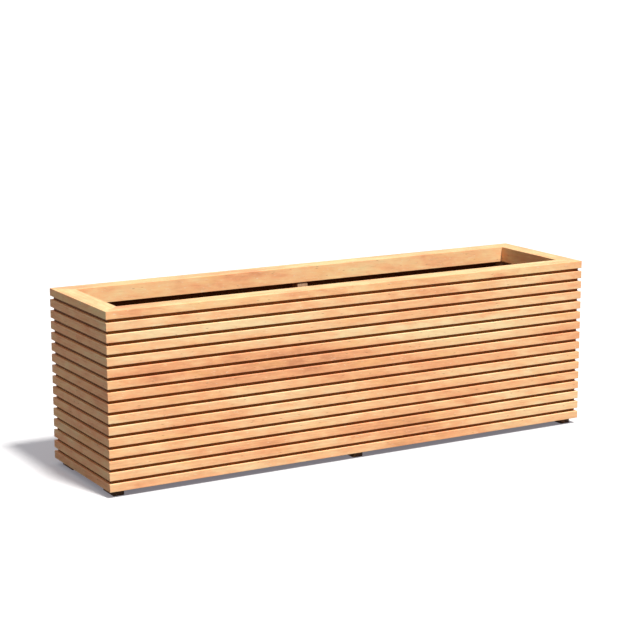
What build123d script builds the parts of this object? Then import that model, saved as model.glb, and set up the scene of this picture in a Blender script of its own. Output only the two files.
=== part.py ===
from build123d import *
import os

# A long slatted planter box. All sizes are in millimetres. X runs along the box, the front faces -Y,
# the ground is Z = 0 and the origin lies on the ground under the middle of the box.

# Overall size, over the outer faces of the slats
length = 2000.0
width = 500.0

# Slats: courses with open gaps between them, mitred at the corners
slat_courses = 15
slat_height = 28.0
slat_gap = 12.0
slat_thickness = 10.0
slat_edge_radius = 1.2
mitre_gap = 0.5

# Rim: four mitred rails, whose outer lip covers the top of the slats and panels
rim_width = 70.0
rim_depth = 60.0
rim_lip_height = 28.0
rim_edge_radius = 1.5

# Loose tongues glued across the rim's mitres, halfway up the lip
tongue_length = 50.0
tongue_width = 24.0
tongue_thickness = 4.0
tongue_clearance = 0.2

# Side panels behind the slats
panel_thickness = 12.0
panel_step = 4.0

# Frame: posts that stand on rails, and bearers across the rails
post_side = 44.0
post_edge_radius = 2.0
rail_height = 44.0
bearer_width = 44.0

# Floor panel, notched round the posts
floor_thickness = 12.0
floor_clearance = 2.0
drain_diameter = 20.0
drain_offset = 80.0

# Feet: blocks that lie across the box under the rails
foot_width = 40.0
foot_length = 90.0
foot_height = 22.0
foot_edge_radius = 2.0

# Dowels, in pairs
dowel_diameter = 10.0
dowel_length = 40.0
dowel_end_space = 1.0
dowel_edge_distance = 9.0

# Screws
screw_clearance = 0.2
slat_screw_diameter = 3.5
slat_screw_head = 7.0
slat_screw_cover = 4.0
slat_screw_end_margin = 100.0
slat_screw_count_long = 4
slat_screw_count_short = 2
panel_screw_diameter = 4.5
panel_screw_head = 9.0
panel_screw_cover = 4.0
post_screw_count = 3
floor_screw_diameter = 4.0
floor_screw_head = 8.0
floor_screw_bite = 25.0
foot_screw_diameter = 5.0
foot_screw_head = 10.0
foot_screw_head_height = 4.0
foot_screw_recess = 7.0
foot_screw_bite = 30.0
foot_screw_pitch = 46.0

# Heights and insets that follow from the sizes above
course_pitch = slat_height + slat_gap
lip_bottom = foot_height + slat_courses * course_pitch
rim_top = lip_bottom + rim_lip_height
rim_bottom = rim_top - rim_depth
frame_inset = slat_thickness + panel_thickness
rail_bottom = foot_height
rail_top = rail_bottom + rail_height
floor_top = rail_top + floor_thickness
post_height = rim_bottom - rail_top

# Centre lines of the frame's members
frame_reach_x = length / 2 - frame_inset
frame_reach_y = width / 2 - frame_inset
post_x = frame_reach_x - post_side / 2
post_y = frame_reach_y - post_side / 2
bearer_x = post_x / 2


class Side:
    """One side of the box: its length, and planes and places laid out along it."""

    def __init__(self, turn, run, reach):
        self.run = run
        self.reach = reach
        self.inwards = Vector(0, 1, 0).rotate(Axis.Z, turn)
        self.along = Vector(1, 0, 0).rotate(Axis.Z, turn)
        self.inwards_axis = Axis((0, 0, 0), self.inwards)
        self.along_axis = Axis((0, 0, 0), self.along)

    def plan(self, height):
        """Level plane: x runs along the side and y runs inwards from its outer face."""
        return Plane(self.inwards * -self.reach + Vector(0, 0, height), self.along, (0, 0, 1))

    def inside_face(self, depth):
        """Upright plane at a depth behind the outer face, seen from inside the box: x along, y up."""
        return Plane(self.inwards * (depth - self.reach), self.along * -1, self.inwards)

    def spots(self, depth, distances, heights):
        """Places on an inside face, one at each distance along the side and each height."""
        face = self.inside_face(depth).location
        return [face * Location((x, z, 0)) for x in distances for z in heights]


sides = {
    "front": Side(0, length, width / 2),
    "right": Side(90, width, length / 2),
    "back": Side(180, length, width / 2),
    "left": Side(270, width, length / 2),
}
long_sides = ("front", "back")


def write(piece, name):
    """Label a finished piece and write it under its name."""
    piece.part.label = name
    export_step(piece.part, f"parts/{name}.step")


def mitred(half_run, outer, inner):
    """Corners, in a side's plan, of a strip between two depths with its ends cut at 45 degrees."""
    return (
        (-half_run + outer, outer),
        (half_run - outer, outer),
        (half_run - inner, inner),
        (-half_run + inner, inner),
    )


def evenly(reach, count):
    """Distances of a row of places, centred and spread evenly from -reach to +reach."""
    steps = max(count - 1, 1)
    return [reach * (2 * i - count + 1) / steps for i in range(count)]


def clear_hole(diameter, head, depth):
    """Countersunk hole that a screw passes through."""
    CounterSinkHole((diameter + screw_clearance) / 2, head / 2, depth, 90)


def countersunk_screw(diameter, head, long):
    """Screw that hangs down from its flat head, with a 90 degree cone under the head and a point."""
    radius = diameter / 2
    cone = head / 2 - radius
    with BuildPart() as screw:
        with BuildSketch(Plane.XZ):
            with BuildLine():
                Polyline(
                    (0, 0),
                    (head / 2, 0),
                    (radius, -cone),
                    (radius, diameter - long),
                    (0, -long),
                    close=True,
                )
            make_face()
        revolve(axis=Axis.Z)
    return screw.part


def pan_head_screw(diameter, head, head_height, long):
    """Screw that hangs down from the seat of a flat cylindrical head, with a point."""
    radius = diameter / 2
    with BuildPart() as screw:
        with BuildSketch(Plane.XZ):
            with BuildLine():
                Polyline(
                    (0, head_height),
                    (head / 2, head_height),
                    (head / 2, 0),
                    (radius, 0),
                    (radius, diameter - long),
                    (0, -long),
                    close=True,
                )
            make_face()
        revolve(axis=Axis.Z)
    return screw.part


def group(shape, places):
    """One node of separate solids: the same shape at each place."""
    with BuildPart() as node:
        with Locations(*places):
            add(shape)
    return node


os.makedirs("parts", exist_ok=True)

# Slat screws run from inside the panels into the back of each slat.
slat_bottoms = [foot_height + course * course_pitch for course in range(slat_courses)]
slat_middles = [bottom + slat_height / 2 for bottom in slat_bottoms]
slat_screw_length = panel_thickness + slat_thickness - slat_screw_cover


def slat_screw_spots(name, depth, heights=slat_middles):
    """Places of one side's slat screws on the face at a depth behind the side."""
    side = sides[name]
    count = slat_screw_count_long if name in long_sides else slat_screw_count_short
    return side.spots(depth, evenly(side.run / 2 - slat_screw_end_margin, count), heights)


# Panel screws run through the posts and the base rails into the back of each panel. On the posts they sit
# behind the gaps between courses. Those of the end panels sit a course lower, so that they pass the screws
# of the long panels inside the corner posts.
panel_screw_length = post_side + panel_thickness - panel_screw_cover
post_screw_share = slat_courses / (post_screw_count + 1)
post_screw_courses = [round(post_screw_share * (i + 1)) for i in range(post_screw_count)]
post_screw_heights = [foot_height + course * course_pitch - slat_gap / 2 for course in post_screw_courses]
rail_middle = (rail_bottom + rail_top) / 2


def post_screw_spots(name, depth):
    """Places of the screws through the posts of one side."""
    if name in long_sides:
        return sides[name].spots(depth, (-post_x, 0, post_x), post_screw_heights)
    lower_heights = [height - course_pitch for height in post_screw_heights]
    return sides[name].spots(depth, (-post_y, post_y), lower_heights)


def rail_screw_spots(name, depth):
    """Places of the screws through the base rail of one side, at the middles of its bays."""
    bay = bearer_x if name in long_sides else post_y
    bays = 4 if name in long_sides else 2
    return sides[name].spots(depth, evenly(bay * (bays - 1) / 2, bays), [rail_middle])


def make_slats(name, bottoms):
    """Slats of one side at the given heights: mitred, eased along the outside, drilled from behind."""
    side = sides[name]
    half_run = (side.run - mitre_gap) / 2
    middles = [bottom + slat_height / 2 for bottom in bottoms]
    with BuildPart() as slats:
        for bottom in bottoms:
            with BuildSketch(side.plan(bottom)):
                with BuildLine():
                    Polyline(*mitred(half_run, 0, slat_thickness), close=True)
                make_face()
            extrude(amount=slat_height)
        outer_edges = slats.edges().filter_by(side.along_axis).group_by(side.inwards_axis)[0]
        fillet(outer_edges, slat_edge_radius)
        with Locations(*slat_screw_spots(name, slat_thickness, middles)):
            Hole(slat_screw_diameter / 2, slat_thickness - slat_screw_cover)
    return slats


# Slats of the two long sides, one node each, and of the two ends, one node for each end
for name in long_sides:
    for course, bottom in enumerate(slat_bottoms, start=1):
        write(make_slats(name, [bottom]), f"{name}_slat_{course:02d}")
for name in ("left", "right"):
    write(make_slats(name, slat_bottoms), f"{name}_slats")

# Side panels. The front and back panels run to the corners and the end panels stand between them.
panel_bottom = foot_height + panel_step
for name, side in sides.items():
    end_inset = slat_thickness if name in long_sides else frame_inset
    with BuildPart() as panel:
        with BuildSketch(side.plan(panel_bottom)):
            with Locations((0, slat_thickness + panel_thickness / 2)):
                Rectangle(side.run - 2 * end_inset, panel_thickness)
        extrude(amount=lip_bottom - panel_bottom)
        with Locations(*slat_screw_spots(name, frame_inset)):
            clear_hole(slat_screw_diameter, slat_screw_head, panel_thickness)
        with Locations(*post_screw_spots(name, frame_inset), *rail_screw_spots(name, frame_inset)):
            Hole(panel_screw_diameter / 2, panel_thickness - panel_screw_cover)
    write(panel, f"panel_{name}")

# Dowels. The upright pair at either end of a corner post lies across its diagonal, so that one dowel enters
# each of the two mitred rim rails. Level pairs join the end rails and bearers to the long rails, below the
# upright ones.
post_places = {
    "front_left": (-post_x, -post_y),
    "front_middle": (0, -post_y),
    "front_right": (post_x, -post_y),
    "back_left": (-post_x, post_y),
    "back_middle": (0, post_y),
    "back_right": (post_x, post_y),
}
cross_places = {
    -post_x: post_side,
    -bearer_x: bearer_width,
    0: bearer_width,
    bearer_x: bearer_width,
    post_x: post_side,
}
cross_length = 2 * (frame_reach_y - post_side)
dowel_bore = dowel_length + 2 * dowel_end_space
level_dowel_height = rail_bottom + (rail_height - dowel_bore / 2) / 2


def post_dowels(x, y, height):
    """The two upright dowels at one end of the post that stands at x, y."""
    step = post_side / 2 - dowel_edge_distance
    lean = (x * y < 0) - (x * y > 0)
    return [Location((x + way * step, y + way * lean * step, height)) for way in (-1, 1)]


def cross_dowels(x, member_width):
    """The four level dowels at the ends of the end rail or bearer that lies at x."""
    step = member_width / 2 - dowel_edge_distance
    return [
        Location((x + way * step, end * cross_length / 2, level_dowel_height), (90, 0, 0))
        for way in (-1, 1)
        for end in (-1, 1)
    ]


upper_dowels = [place for x, y in post_places.values() for place in post_dowels(x, y, rim_bottom)]
lower_dowels = [place for x, y in post_places.values() for place in post_dowels(x, y, rail_top)]
level_dowels = [place for x, across in cross_places.items() for place in cross_dowels(x, across)]

# Feet lie across the box, flush with the outer face of the frame. One screw of each goes up into the long
# rail above it and the other into the end rail or the bearer.
foot_x = frame_reach_x - foot_width / 2
foot_y = frame_reach_y - foot_length / 2
foot_places = [(x, y) for x in (-foot_x, 0, foot_x) for y in (-foot_y, foot_y)]
foot_screw_length = foot_height - foot_screw_recess + foot_screw_bite


def foot_screw_spots(height):
    """Places of the foot screws at a height, facing down, two for each foot."""
    return [
        Location((x, end * y, height), (180, 0, 0))
        for x in (-foot_x, 0, foot_x)
        for end in (-1, 1)
        for y in (post_y, post_y - foot_screw_pitch)
    ]


# Floor screws stand at the third points of the rails and in the middle of each bearer.
floor_screw_places = [(post_x * third / 3, end * post_y) for third in (-2, -1, 1, 2) for end in (-1, 1)]
floor_screw_places += [(end * post_x, third * post_y / 3) for end in (-1, 1) for third in (-1, 1)]
floor_screw_places += [(x, 0) for x in (-bearer_x, 0, bearer_x)]


def floor_screw_spots(height):
    """Places of the floor screws at a height, facing up."""
    return [Location((x, y, height)) for x, y in floor_screw_places]


def over(places, x, y, size_x, size_y):
    """Those of the places that lie over a rectangle centred on x, y, its edges included."""
    edge = 0.01
    return [
        place
        for place in places
        if abs(place.position.X - x) < size_x / 2 + edge and abs(place.position.Y - y) < size_y / 2 + edge
    ]


# Posts. The holes in a corner post run towards both of the panels that it carries.
inner_face = frame_inset + post_side
all_post_screws = [spot for name in sides for spot in post_screw_spots(name, inner_face)]
all_rail_screws = [spot for name in sides for spot in rail_screw_spots(name, inner_face)]
for name, (x, y) in post_places.items():
    with BuildPart() as post:
        with Locations((x, y, rail_top)):
            Box(post_side, post_side, post_height, align=(Align.CENTER, Align.CENTER, Align.MIN))
        fillet(post.edges().filter_by(Axis.Z), post_edge_radius)
        with Locations(*post_dowels(x, y, rim_bottom), *post_dowels(x, y, rail_top)):
            Cylinder(dowel_diameter / 2, dowel_bore, mode=Mode.SUBTRACT)
        with Locations(*over(all_post_screws, x, y, post_side, post_side)):
            clear_hole(panel_screw_diameter, panel_screw_head, post_side)
    write(post, f"post_{name}")


def make_members(centres, size_x, size_y):
    """Rails or bearers of the base frame, with every bore and screw hole that lies over them."""

    def met(places):
        return [place for x, y in centres for place in over(places, x, y, size_x, size_y)]

    with BuildPart() as members:
        with Locations(*[(x, y, rail_bottom) for x, y in centres]):
            Box(size_x, size_y, rail_height, align=(Align.CENTER, Align.CENTER, Align.MIN))
        with Locations(*met(lower_dowels + level_dowels)):
            Cylinder(dowel_diameter / 2, dowel_bore, mode=Mode.SUBTRACT)
        if met(all_rail_screws):
            with Locations(*met(all_rail_screws)):
                clear_hole(panel_screw_diameter, panel_screw_head, post_side)
        if met(foot_screw_spots(rail_bottom)):
            with Locations(*met(foot_screw_spots(rail_bottom))):
                Hole(foot_screw_diameter / 2, foot_screw_bite)
        with Locations(*met(floor_screw_spots(rail_top))):
            Hole(floor_screw_diameter / 2, floor_screw_bite)
    return members


# Base frame. The long rails run the whole length and carry the posts; the end rails and the bearers
# stand between them.
write(make_members([(0, -post_y)], 2 * frame_reach_x, post_side), "rail_front")
write(make_members([(0, post_y)], 2 * frame_reach_x, post_side), "rail_back")
write(make_members([(-post_x, 0)], post_side, cross_length), "rail_left")
write(make_members([(post_x, 0)], post_side, cross_length), "rail_right")
write(make_members([(x, 0) for x in (-bearer_x, 0, bearer_x)], bearer_width, cross_length), "floor_bearers")

# Floor panel, on the rails and bearers, notched round the posts, with two drain holes in each bay
with BuildPart() as floor_panel:
    with BuildSketch(Plane.XY.offset(rail_top)):
        Rectangle(2 * (frame_reach_x - floor_clearance), 2 * (frame_reach_y - floor_clearance))
        with Locations(*post_places.values()):
            notch = post_side + 2 * floor_clearance
            Rectangle(notch, notch, mode=Mode.SUBTRACT)
    extrude(amount=floor_thickness)
    with Locations((0, 0, floor_top)):
        with GridLocations(bearer_x, 2 * drain_offset, 4, 2):
            Hole(drain_diameter / 2, floor_thickness)
    with Locations(*floor_screw_spots(floor_top)):
        clear_hole(floor_screw_diameter, floor_screw_head, floor_thickness)
write(floor_panel, "floor_panel")

# Feet, with the screw heads sunk clear of the ground
with BuildPart() as feet:
    with Locations(*foot_places):
        Box(foot_width, foot_length, foot_height, align=(Align.CENTER, Align.CENTER, Align.MIN))
    fillet(feet.edges().filter_by(Axis.Z), foot_edge_radius)
    with Locations(*foot_screw_spots(0)):
        CounterBoreHole(
            (foot_screw_diameter + screw_clearance) / 2,
            (foot_screw_head + screw_clearance) / 2,
            foot_screw_recess,
            foot_height,
        )
write(feet, "feet")

# Rim rails. The lip lies over the slats and panels; the deeper part behind it stands on the posts. A loose
# tongue is glued into a slot across each mitre.
tongue_x = (length - rim_width) / 2
tongue_y = (width - rim_width) / 2
tongue_spots = [
    Location((end * tongue_x, way * tongue_y, rim_top - rim_lip_height / 2), (0, 0, 45 * end * way))
    for end in (-1, 1)
    for way in (-1, 1)
]
for name, side in sides.items():
    with BuildPart() as rim:
        with BuildSketch(side.plan(lip_bottom)):
            with BuildLine():
                Polyline(*mitred(side.run / 2, 0, rim_width), close=True)
            make_face()
        extrude(amount=rim_lip_height)
        with BuildSketch(side.plan(rim_bottom)):
            with BuildLine():
                Polyline(*mitred(side.run / 2, frame_inset, rim_width), close=True)
            make_face()
        extrude(amount=lip_bottom - rim_bottom)
        rows = rim.edges().filter_by(side.along_axis).group_by(side.inwards_axis)
        fillet(rows[0] + rows[-1], rim_edge_radius)
        with Locations(*upper_dowels):
            Cylinder(dowel_diameter / 2, dowel_bore, mode=Mode.SUBTRACT)
        with Locations(*tongue_spots):
            Box(
                tongue_length + tongue_clearance,
                tongue_width + tongue_clearance,
                tongue_thickness + tongue_clearance,
                mode=Mode.SUBTRACT,
            )
    write(rim, f"rim_{name}")

with BuildPart() as rim_tongues:
    with Locations(*tongue_spots):
        Box(tongue_length, tongue_width, tongue_thickness)
write(rim_tongues, "rim_tongues")

# Dowels and screws
with BuildPart() as dowels:
    with Locations(*upper_dowels, *lower_dowels, *level_dowels):
        Cylinder(dowel_diameter / 2, dowel_length)
write(dowels, "dowels")

slat_screw = countersunk_screw(slat_screw_diameter, slat_screw_head, slat_screw_length)
slat_screw_places = [spot for name in sides for spot in slat_screw_spots(name, frame_inset)]
write(group(slat_screw, slat_screw_places), "slat_screws")

panel_screw = countersunk_screw(panel_screw_diameter, panel_screw_head, panel_screw_length)
write(group(panel_screw, all_post_screws + all_rail_screws), "panel_screws")

floor_screw = countersunk_screw(floor_screw_diameter, floor_screw_head, floor_thickness + floor_screw_bite)
write(group(floor_screw, floor_screw_spots(floor_top)), "floor_screws")

foot_screw = pan_head_screw(foot_screw_diameter, foot_screw_head, foot_screw_head_height, foot_screw_length)
write(group(foot_screw, foot_screw_spots(foot_screw_recess)), "foot_screws")
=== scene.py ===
import math

import bpy
import numpy as np
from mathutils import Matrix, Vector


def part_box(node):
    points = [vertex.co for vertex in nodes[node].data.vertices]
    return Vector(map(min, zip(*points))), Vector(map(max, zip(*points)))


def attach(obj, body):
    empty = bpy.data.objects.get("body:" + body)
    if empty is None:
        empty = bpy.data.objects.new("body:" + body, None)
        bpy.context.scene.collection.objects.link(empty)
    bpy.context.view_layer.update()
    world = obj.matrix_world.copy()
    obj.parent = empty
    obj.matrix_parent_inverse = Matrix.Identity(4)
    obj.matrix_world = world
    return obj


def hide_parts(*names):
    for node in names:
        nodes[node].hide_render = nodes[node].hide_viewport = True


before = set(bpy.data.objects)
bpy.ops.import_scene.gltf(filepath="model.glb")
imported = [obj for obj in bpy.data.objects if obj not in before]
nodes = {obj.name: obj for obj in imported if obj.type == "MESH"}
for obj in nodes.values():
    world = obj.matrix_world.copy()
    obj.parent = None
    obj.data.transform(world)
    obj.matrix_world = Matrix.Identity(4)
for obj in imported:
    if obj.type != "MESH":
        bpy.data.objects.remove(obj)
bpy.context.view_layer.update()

# The slats: planed hardwood laths, mitred at the corners and screwed to the panels from inside. They are
# oiled, with straight grain, cream to apricot in colour, with redder heartwood drawn out along them.
lath_low, lath_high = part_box("front_slat_01")
course_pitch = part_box("front_slat_02")[0].z - lath_low.z
lath_height = lath_high.z - lath_low.z


class Field:
    """A value, colour or vector that varies over a surface: a node's output, with arithmetic for values."""

    def __init__(self, tree, socket):
        self.tree = tree
        self.socket = socket

    def node(self, kind, settings, inputs, output=0):
        """Add a shader node, with its settings and its inputs by name or number, and give one output back."""
        made = self.tree.nodes.new("ShaderNode" + kind)
        for name, value in settings.items():
            if name == "stops":
                made.color_ramp.elements.remove(made.color_ramp.elements[1])
                made.color_ramp.elements[0].color = (*value[0][1], 1)
                for position, colour in value[1:]:
                    made.color_ramp.elements.new(position).color = (*colour, 1)
            else:
                setattr(made, name, value)
        for key, value in inputs.items():
            if isinstance(value, Field):
                self.tree.links.new(value.socket, made.inputs[key])
            else:
                made.inputs[key].default_value = value
        return Field(self.tree, made.outputs[output])

    def math(self, operation, *values):
        """A Math node on these values."""
        return self.node("Math", {"operation": operation}, dict(enumerate(values)))

    def __add__(self, other):
        return self.math("ADD", self, other)

    def __sub__(self, other):
        return self.math("SUBTRACT", self, other)

    def __rsub__(self, other):
        return self.math("SUBTRACT", other, self)

    def __mul__(self, other):
        return self.math("MULTIPLY", self, other)

    def __truediv__(self, other):
        return self.math("DIVIDE", self, other)

    __radd__ = __add__
    __rmul__ = __mul__

    def parts(self):
        """The three numbers of a vector or colour."""
        return [self.node("SeparateXYZ", {}, {0: self}, i) for i in range(3)]

    def rise(self, low, high):
        """0 below low, 1 above high and a smooth S between them; low may be the larger, for a fall."""
        ramp = {"interpolation_type": "SMOOTHSTEP"}
        return self.node("MapRange", ramp, {0: self, 1: low, 2: high})

    def noise(self, scale, detail, roughness=0.5):
        """Soft noise of this many lumps to a metre, moved from 0 to 1 to run from -1 to 1."""
        inputs = {"Vector": self, "Scale": scale, "Detail": detail, "Roughness": roughness}
        return (self.node("TexNoise", {}, inputs) - 0.5) * 2

    def over(self, colour, share):
        """A colour laid over this one by a share from 0 to 1."""
        return self.node("Mix", {"data_type": "RGBA"}, {0: share, 6: self, 7: colour}, 2)

    def times(self, share):
        """This colour made darker or lighter, multiplied by one value."""
        return self.node("VectorMath", {"operation": "SCALE"}, {0: self, 3: share})


def new_material(name):
    """An empty material with one shader, and the place of each point of the surface in metres."""
    material = bpy.data.materials.new(name)
    material.use_nodes = True
    tree = material.node_tree
    place = Field(tree, tree.nodes.new("ShaderNodeTexCoord").outputs["Object"])
    return material, tree.nodes["Principled BSDF"], place


def plug_in(shader, **sockets):
    """Feed the shader's sockets, named with underscores for spaces, from fields or plain values."""
    for name, value in sockets.items():
        socket = shader.inputs[name.replace("_", " ")]
        if isinstance(value, Field):
            value.tree.links.new(value.socket, socket)
        else:
            socket.default_value = value


def boards_of(place, shift, size):
    """Three random numbers for each board.

    The space, moved by shift, is cut into cells of this size, each of which holds one board. The numbers are
    white noise seeded by the cell's corner.
    """
    moved = place.node("VectorMath", {"operation": "ADD"}, {0: place, 1: shift})
    cell = place.node("VectorMath", {"operation": "SNAP"}, {0: moved, 1: size})
    return cell.node("TexWhiteNoise", {"noise_dimensions": "3D"}, {"Vector": cell}, 1)


cream = (1.0, 0.735, 0.410)
apricot = (1.0, 0.560, 0.285)
salmon = (0.935, 0.438, 0.212)
heartwood = (0.720, 0.305, 0.150)
pore_brown = (0.32, 0.15, 0.07, 1)
fleck_cream = (1.0, 0.82, 0.60, 1)
blush_pink = (1.0, 0.47, 0.25, 1)
honey = (1.0, 0.58, 0.21, 1)
ring_pitch = 0.0042


def hardwood(name, along, shift, size, tones, lean, streaks=(), painted_top_shade=0.0, worn_edges=None):
    """Oiled hardwood with its grain along X, Y or Z.

    The tone is a place among the tones, pale at 0 and dark at 1: a mean, which is lean, plus broad clouds
    and patches stretched along the grain, a random step for each board, and the given streaks. A streak is
    an ellipse given by its middle along and up the side, its reach each way, and how much darker it is. Pink
    and honey patches lie over the tone. The light on it falls with fine figure stretched seven to one, with
    rings, which are sines of the distance from a pith that leans along each board and so open into long
    arches, and with fibres, noise stretched forty to one. Pores and flecks are the highs and lows of two
    more noises, and pin marks are sparse dots, long in the grain. Faces that look up are painted darker by
    painted_top_shade, a painted shade standing in for the stronger light on them. worn_edges is the lowest
    course from gap to gap, and pales the edges of every slat.
    """
    material, shader, place = new_material(name)
    x, y, z = place.parts()
    u, a, b = {"X": (x, y, z), "Y": (y, x, z), "Z": (z, x, y)}[along]
    first, second, third = boards_of(place, shift, size).parts()

    def grain(stretch, slope=0.0, slide=0.0):
        """A vector of the grain's own directions: shortened along it, sloped, and slid for each board."""
        sloped = b + u * slope + third * slide
        directions = {0: (u + first * slide) / stretch, 1: a + second * slide, 2: sloped}
        return place.node("CombineXYZ", {}, directions)

    clouds = grain(6, 0.05, 0.02).noise(11, 3, 0.55)
    patches = grain(3, 0.07, 0.2).noise(34, 3, 0.6)
    figure = grain(7, 0.09, 0.6).noise(150, 3, 0.65)
    blush = grain(4, 0.07, 0.05).noise(26, 2, 0.6)
    tone = lean + clouds * 0.62 + patches * 0.46 + (first - 0.5) * 0.14
    for middle_u, middle_b, reach_u, reach_b, depth in streaks:
        off_u = (u - middle_u) / reach_u
        off_b = (b - middle_b + (u - middle_u) * 0.02 + clouds * 0.02 + patches * 0.008) / reach_b
        tone = tone + (off_u * off_u + off_b * off_b).rise(1, 0) * (depth + patches * 0.14)

    pith_a = a + (second - 0.5) * 0.05 + 0.05
    pith_b = b - size[2] * 0.5 + (third - 0.5) * 0.06 + u * (first - 0.5) * 0.03
    wobble = grain(8, 0, 1).noise(30, 2) * 0.0022
    radius = place.math("POWER", pith_a * pith_a + pith_b * pith_b, 0.5)
    rings = place.math("SINE", (radius + wobble) * (2 * math.pi / ring_pitch))
    rings = (rings * 0.5 + 0.5) * (grain(5, 0, 2).noise(40, 1) * 0.5 + 0.6)

    fibres = grain(40, 0.03, 1).noise(900, 3, 0.6)
    pores = grain(16, 0.05, 1.7).noise(1100, 1).rise(0.36, 0.62)
    flecks = grain(5, 0.08, 2.3).noise(330, 1).rise(-0.30, -0.55)
    cell = {"Vector": grain(5, 0.05, 3.1), "Scale": 130}
    pins = place.node("TexVoronoi", {}, cell).rise(0.22, 0.05)
    pins = pins * place.node("TexVoronoi", {}, cell, 1).parts()[0].rise(0.45, 0.90)

    colour = place.node("ValToRGB", {"stops": tones}, {0: tone})
    colour = colour.over(blush_pink, blush.rise(0.05, 0.6) * 0.30)
    colour = colour.over(honey, blush.rise(-0.05, -0.6) * 0.30)
    colour = colour.over(pore_brown, pores * 0.32 + pins * 0.62)
    colour = colour.over(fleck_cream, flecks * 0.5)
    light = 1.06 - figure * 0.19 - rings * 0.11 - fibres * 0.15
    # Painted shade: the colour of faces that look up is darkened by this share, for the stronger light on
    # them.
    if painted_top_shade:
        light = light - place.node("NewGeometry", {}, {}, 1).parts()[2].rise(0.5, 1.0) * painted_top_shade
    if worn_edges:
        course = place.math("WRAP", b, worn_edges[0], worn_edges[1])
        off_middle = place.math("ABSOLUTE", course - sum(worn_edges) / 2)
        half_height = lath_height / 2
        worn = off_middle.rise(half_height - 0.0022, half_height - 0.0004) * (patches * 0.5 + 0.5)
        light = light + worn * 0.10
    height = fibres * 0.35 - pores * 0.5 - rings * 0.2 - pins * 0.6
    bump = place.node("Bump", {}, {"Strength": 0.5, "Distance": 0.0003, "Height": height})
    roughness = 0.56 + fibres * 0.06 + rings * 0.05 + pores * 0.15 + patches * 0.05
    plug_in(shader, Base_Color=colour.times(light), Roughness=roughness, Normal=bump)
    plug_in(shader, Specular_IOR_Level=0.15)
    return material


def finish(names, material):
    """Give these CAD nodes this material in place of their own."""
    for name in names:
        mesh = nodes[name].data
        mesh.materials.clear()
        mesh.materials.append(material)


slat_tones = [(0.0, cream), (0.36, apricot), (0.62, salmon), (1.0, heartwood)]
gap_middle = lath_low.z - (course_pitch - lath_height) / 2
course = (gap_middle, gap_middle + course_pitch)
front_streaks = [
    (-0.45, 0.42, 0.60, 0.060, 0.20),
    (-0.25, 0.41, 0.32, 0.045, 0.16),
    (-0.85, 0.42, 0.24, 0.055, 0.22),
    (0.12, 0.105, 0.36, 0.050, 0.24),
    (-0.42, 0.10, 0.20, 0.035, 0.20),
    (0.50, 0.44, 0.55, 0.060, -0.34),
    (0.70, 0.12, 0.40, 0.070, -0.26),
    (-0.60, 0.55, 0.55, 0.040, -0.26),
    (0.75, 0.53, 0.40, 0.090, -0.18),
]
long_slats = hardwood(
    "oiled_laths_long", "X", (5, 0, -gap_middle), (10, 1, course_pitch), slat_tones, 0.40,
    streaks=front_streaks, worn_edges=course,
)
short_slats = hardwood(
    "oiled_laths_short", "Y", (0, 5, -gap_middle), (1, 10, course_pitch), slat_tones, 0.44,
    worn_edges=course,
)
finish([name for name in nodes if name.startswith(("front_slat", "back_slat"))], long_slats)
finish(["left_slats", "right_slats"], short_slats)

# The rim: four flat rails of the same oiled hardwood, mitred at the corners and glued with loose tongues.
# They lie over the tops of the slats and stand on the posts.
rim_tones = [(0.0, (1.0, 0.76, 0.395)), (0.40, (1.0, 0.575, 0.28)), (0.68, salmon), (1.0, heartwood)]
lip_streaks = [
    (-1.0, 0.64, 0.28, 0.06, 0.38),
    (-0.2, 0.64, 0.16, 0.05, 0.16),
    (0.6, 0.64, 0.12, 0.05, 0.14),
]
# Painted shade: the rims' upward faces are darkened in colour by this share, for the stronger sun on them.
painted_top_shade = 0.28
long_rim = hardwood(
    "oiled_rim_long_painted_top_shade", "X", (5, 0, 5), (10, 1, 10), rim_tones, 0.36, streaks=lip_streaks, painted_top_shade=painted_top_shade
)
short_rim = hardwood("oiled_rim_short_painted_top_shade", "Y", (0, 5, 5), (1, 10, 10), rim_tones, 0.36, painted_top_shade=painted_top_shade)
finish(["rim_front", "rim_back"], long_rim)
finish(["rim_left", "rim_right"], short_rim)

# The posts: square hardwood uprights, planed but not oiled. They stand on the base rails, are doweled to
# them and to the rim above, and carry the panels on their outer faces.
post_tones = [(0.0, (0.66, 0.46, 0.31)), (0.5, (0.54, 0.33, 0.20)), (1.0, (0.34, 0.18, 0.10))]
posts = [name for name in nodes if name.startswith("post_")]
finish(posts, hardwood("bare_posts", "Z", (0.3, 0, 5), (0.6, 1, 10), post_tones, 0.4))

# The base frame: sawn hardwood rails and bearers, stained dark against the damp. The end rails and bearers
# stand between the long rails and are doweled to them.
frame_tones = [(0.0, (0.34, 0.20, 0.12)), (0.5, (0.22, 0.12, 0.07)), (1.0, (0.07, 0.035, 0.02))]
long_rails = hardwood("stained_rails_long", "X", (5, 0, 5), (10, 1, 10), frame_tones, 0.5)
cross_rails = hardwood("stained_rails_short", "Y", (0.2, 5, 5), (0.4, 10, 10), frame_tones, 0.5)
finish(["rail_front", "rail_back"], long_rails)
finish(["rail_left", "rail_right", "floor_bearers"], cross_rails)

# The feet: short blocks of the same hardwood, stained darker. They lie across the box under the rails, each
# held by two screws from below.
finish(["feet"], hardwood("stained_feet", "Y", (0.2, 0, 5), (0.4, 1, 10), frame_tones, 0.85))


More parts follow.
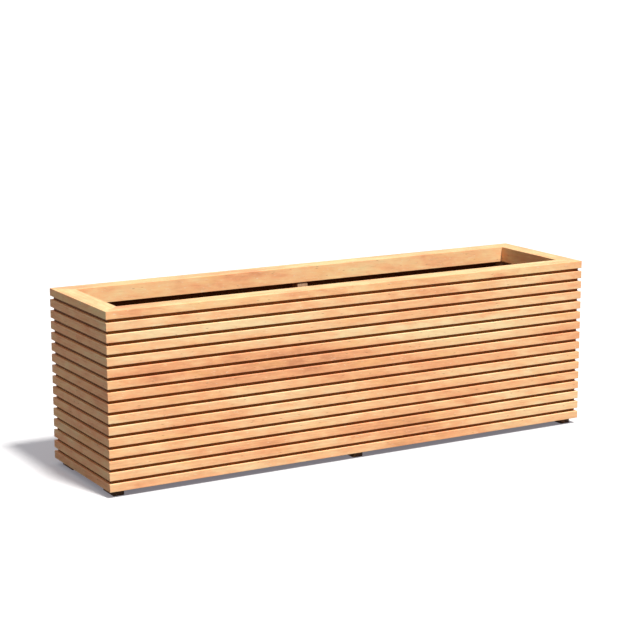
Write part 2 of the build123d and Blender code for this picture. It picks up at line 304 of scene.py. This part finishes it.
# The side panels and the floor: exterior plywood faced with a dark brown film, rubbed a little in handling.
# The panels are screwed to the posts and rails, and the floor lies on the base frame.
def faced_ply(name, film):
    """Film-faced ply: a dark film mottled by soft noise, with a fine pebbled bump and rubbed spots."""
    material, shader, place = new_material(name)
    mottle = place.noise(14, 4, 0.6)
    pebble = place.noise(900, 2)
    rubbed = place.noise(45, 5, 0.7).rise(0.34, 0.7)
    lighter = tuple(1.8 * part for part in film)
    colour = place.node("ValToRGB", {"stops": [(0.0, film), (1.0, lighter)]}, {0: mottle * 0.5 + 0.4})
    colour = colour.over((0.30, 0.15, 0.06, 1), rubbed * 0.35)
    height = pebble * 0.5 + rubbed * 0.4
    bump = place.node("Bump", {}, {"Strength": 0.4, "Distance": 0.0002, "Height": height})
    plug_in(shader, Base_Color=colour, Roughness=0.5 + rubbed * 0.2 + pebble * 0.06, Normal=bump)
    plug_in(shader, Specular_IOR_Level=0.12)
    return material


panel_film = faced_ply("brown_film_ply", (0.15, 0.058, 0.012))
finish(["panel_front", "panel_back", "panel_left", "panel_right", "floor_panel"], panel_film)

# The dowels and loose tongues: turned and planed hardwood, left bare and glued, hidden in the joints of the
# frame, posts and rim.
joint_tones = [(0.0, (0.78, 0.60, 0.42)), (1.0, (0.50, 0.33, 0.20))]
pale_joints = hardwood("pale_joints", "X", (5, 5, 5), (0.05, 0.05, 10), joint_tones, 0.4)
finish(["dowels", "rim_tongues"], pale_joints)


# The screws: satin stainless steel, countersunk in the panels, posts and floor, and with flat heads sunk in
# the feet. Only their heads show, each with its recess.
def stainless(name):
    """Satin stainless: grey metal, scratched by noise stretched twelve to one, with a cloudy sheen."""
    material, shader, place = new_material(name)
    x, y, z = place.parts()
    scratches = place.node("CombineXYZ", {}, {0: x, 1: y / 12, 2: z}).noise(2500, 2)
    cloud = place.noise(180, 3)
    greys = {"stops": [(0.0, (0.42, 0.41, 0.39)), (1.0, (0.66, 0.65, 0.62))]}
    colour = place.node("ValToRGB", greys, {0: cloud * 0.5 + 0.5})
    bump = place.node("Bump", {}, {"Strength": 0.3, "Distance": 0.00005, "Height": scratches})
    roughness = 0.34 + scratches * 0.08 + cloud * 0.05
    plug_in(shader, Base_Color=colour, Metallic=1.0, Roughness=roughness, Normal=bump)
    return material


satin_screws = stainless("satin_screws")
lobes = 6


def screw_group(name, node, ways, head, shank, long, head_height=0.0):
    """All the screws of a CAD node, as one mesh with a six-lobed recess in each head.

    The head and the shank are given by their radii. A head with a height is flat underneath, and one without
    is countersunk.
    A screw is a stack of rings of twelve points about its axis: the recess's floor and rim, the top and foot
    of the head's edge, and the two ends of the shank, with the point below. In the recess every second point
    is drawn in. The places are the CAD points furthest along each way that the screws face, each taken once.
    """
    count = 2 * lobes
    near = np.arange(count)
    after = (near + 1) % count
    turn = near * math.pi / lobes
    drawn_in = np.where(near % 2, 0.42, 0.60)
    plain = np.ones(count)
    under = shank - head if head_height == 0 else 0.0
    rings = [
        (head * 0.9 * drawn_in, head_height - head * 0.55),
        (head * drawn_in, head_height),
        (head * plain, head_height),
        (head * plain, under * 0.1),
        (shank * plain, under),
        (shank * plain, 2 * shank - long),
    ]
    circles = [np.column_stack([r * np.cos(turn), r * np.sin(turn), h + 0 * turn]) for r, h in rings]
    screw = np.concatenate(circles + [[(0, 0, -long)]])
    starts = np.arange(len(rings) - 1)[:, None] * count
    quads = np.stack([starts + near, starts + after, starts + count + after, starts + count + near], -1)
    quads = quads.reshape(-1, 4)[:, ::-1]
    last = (len(rings) - 1) * count
    tips = np.column_stack([last + after, last + near, np.full(count, len(screw) - 1)])

    mesh = nodes[node].data
    corners = np.empty(3 * len(mesh.vertices))
    mesh.vertices.foreach_get("co", corners)
    corners = corners.reshape(-1, 3)
    points = []
    for way in ways:
        far = corners @ way
        ends = np.unique(corners[far > far.max() - 1e-5].round(5), axis=0)
        up = -np.array(way, dtype=float)
        side = np.roll(up, 1)
        basis = np.stack([side, np.cross(up, side), up])
        points.append((screw @ basis + up * long)[None] + ends[:, None])
    points = np.concatenate(points)
    shifts = np.arange(len(points)) * len(screw)
    faces = (quads[None] + shifts[:, None, None]).reshape(-1, 4).tolist()
    faces += (tips[None] + shifts[:, None, None]).reshape(-1, 3).tolist()
    faces += (near[None] + shifts[:, None]).tolist()
    made = bpy.data.meshes.new(name)
    made.from_pydata(points.reshape(-1, 3).tolist(), [], faces)
    made.materials.append(satin_screws)
    piece = bpy.data.objects.new(name, made)
    bpy.context.scene.collection.objects.link(piece)
    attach(piece, "root")
    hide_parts(node)


sideways = [(0, -1, 0), (1, 0, 0), (0, 1, 0), (-1, 0, 0)]
screw_group("slat_screws_lobed", "slat_screws", sideways, head=0.0035, shank=0.00175, long=0.018)
screw_group("panel_screws_lobed", "panel_screws", sideways, head=0.0045, shank=0.00225, long=0.052)
screw_group("floor_screws_lobed", "floor_screws", [(0, 0, -1)], head=0.0040, shank=0.0020, long=0.037)
screw_group(
    "foot_screws_lobed", "foot_screws", [(0, 0, 1)], head=0.0050, shank=0.0025, long=0.045, head_height=0.004
)

# The ground under the box: plain and white to the eye, with the box's shadow. The light that it throws back
# on the box is that of a dark grey, so that the undersides and the gaps stay dark.
floor_reach = 150.0
corners = floor_reach * np.array([(-1, -1, 0), (1, -1, 0), (1, 1, 0), (-1, 1, 0)], dtype=float)
floor_mesh = bpy.data.meshes.new("floor")
floor_mesh.from_pydata(corners.tolist(), [], [(0, 1, 2, 3)])
floor = bpy.data.objects.new("floor", floor_mesh)
bpy.context.scene.collection.objects.link(floor)


def shown_in(tree):
    """1 for a ray from the camera or off or through something glossy, 0 for light on a matt surface."""
    rays = tree.nodes.new("ShaderNodeLightPath")
    kinds = ("Is Camera Ray", "Is Glossy Ray", "Is Transmission Ray")
    camera, glossy, through = (Field(tree, rays.outputs[kind]) for kind in kinds)
    return camera.math("MAXIMUM", camera.math("MAXIMUM", camera, glossy), through)


floor_paint = bpy.data.materials.new("white_floor")
floor_paint.use_nodes = True
tree = floor_paint.node_tree
tree.nodes.clear()
shown = shown_in(tree)
unseen_grey = 0.10
seen_grey = 0.62
seen_glow = 0.18
glow_tint = (0.98, 0.93, 1.05, 1)
plain = shown.node("BsdfDiffuse", {}, {"Color": (unseen_grey, unseen_grey, unseen_grey, 1)})
bright = shown.node("BsdfDiffuse", {}, {"Color": (seen_grey, seen_grey, seen_grey, 1)})
glow = shown.node("Emission", {}, {"Color": glow_tint, "Strength": seen_glow})
lit = shown.node("AddShader", {}, {0: bright, 1: glow})
both = shown.node("MixShader", {}, {0: shown, 1: plain, 2: lit})
tree.links.new(both.socket, tree.nodes.new("ShaderNodeOutputMaterial").inputs[0])
floor_mesh.materials.append(floor_paint)

# The light: a high soft sun, a little right of the front, and a weak sky that is brighter overhead. The eye
# sees the sky as plain white.
sun = bpy.data.lights.new("sun", "SUN")
sun.energy = 1.5 * math.pi
sun.angle = math.radians(8)
sun.color = (1.0, 0.985, 0.96)
sun_object = bpy.data.objects.new("sun", sun)
sun_towards = np.array([0.1015, -0.468, 0.878])
tilt = math.acos(sun_towards[2] / np.linalg.norm(sun_towards))
sun_object.rotation_euler = (tilt, 0, math.atan2(sun_towards[0], -sun_towards[1]))
bpy.context.scene.collection.objects.link(sun_object)

world = bpy.data.worlds.new("sky")
bpy.context.scene.world = world
world.use_nodes = True
tree = world.node_tree
tree.nodes.clear()
shown = shown_in(tree)
upward = shown.node("TexCoord", {}, {}).parts()[2]
sky = shown.node("Background", {}, {"Color": (0.96, 0.98, 1.0, 1), "Strength": upward * 0.47 + 0.09})
white = shown.node("Background", {}, {"Color": (1, 1, 1, 1), "Strength": 1.0})
both = shown.node("MixShader", {}, {0: shown, 1: sky, 2: white})
tree.links.new(both.socket, tree.nodes.new("ShaderNodeOutputWorld").inputs[0])

# The camera: a long lens, well back, high and to the left of the front.
camera = bpy.data.cameras.new("camera")
camera.sensor_width = 36
camera.lens = 100.01
camera.clip_end = 400
camera_object = bpy.data.objects.new("camera", camera)
camera_object.location = (-3.2954, -5.6264, 1.8159)
camera_object.rotation_euler = (math.radians(90 - 11.6245), 0, math.radians(-30.1297))
bpy.context.scene.collection.objects.link(camera_object)
bpy.context.scene.camera = camera_object
bpy.context.scene.view_settings.view_transform = "Standard"
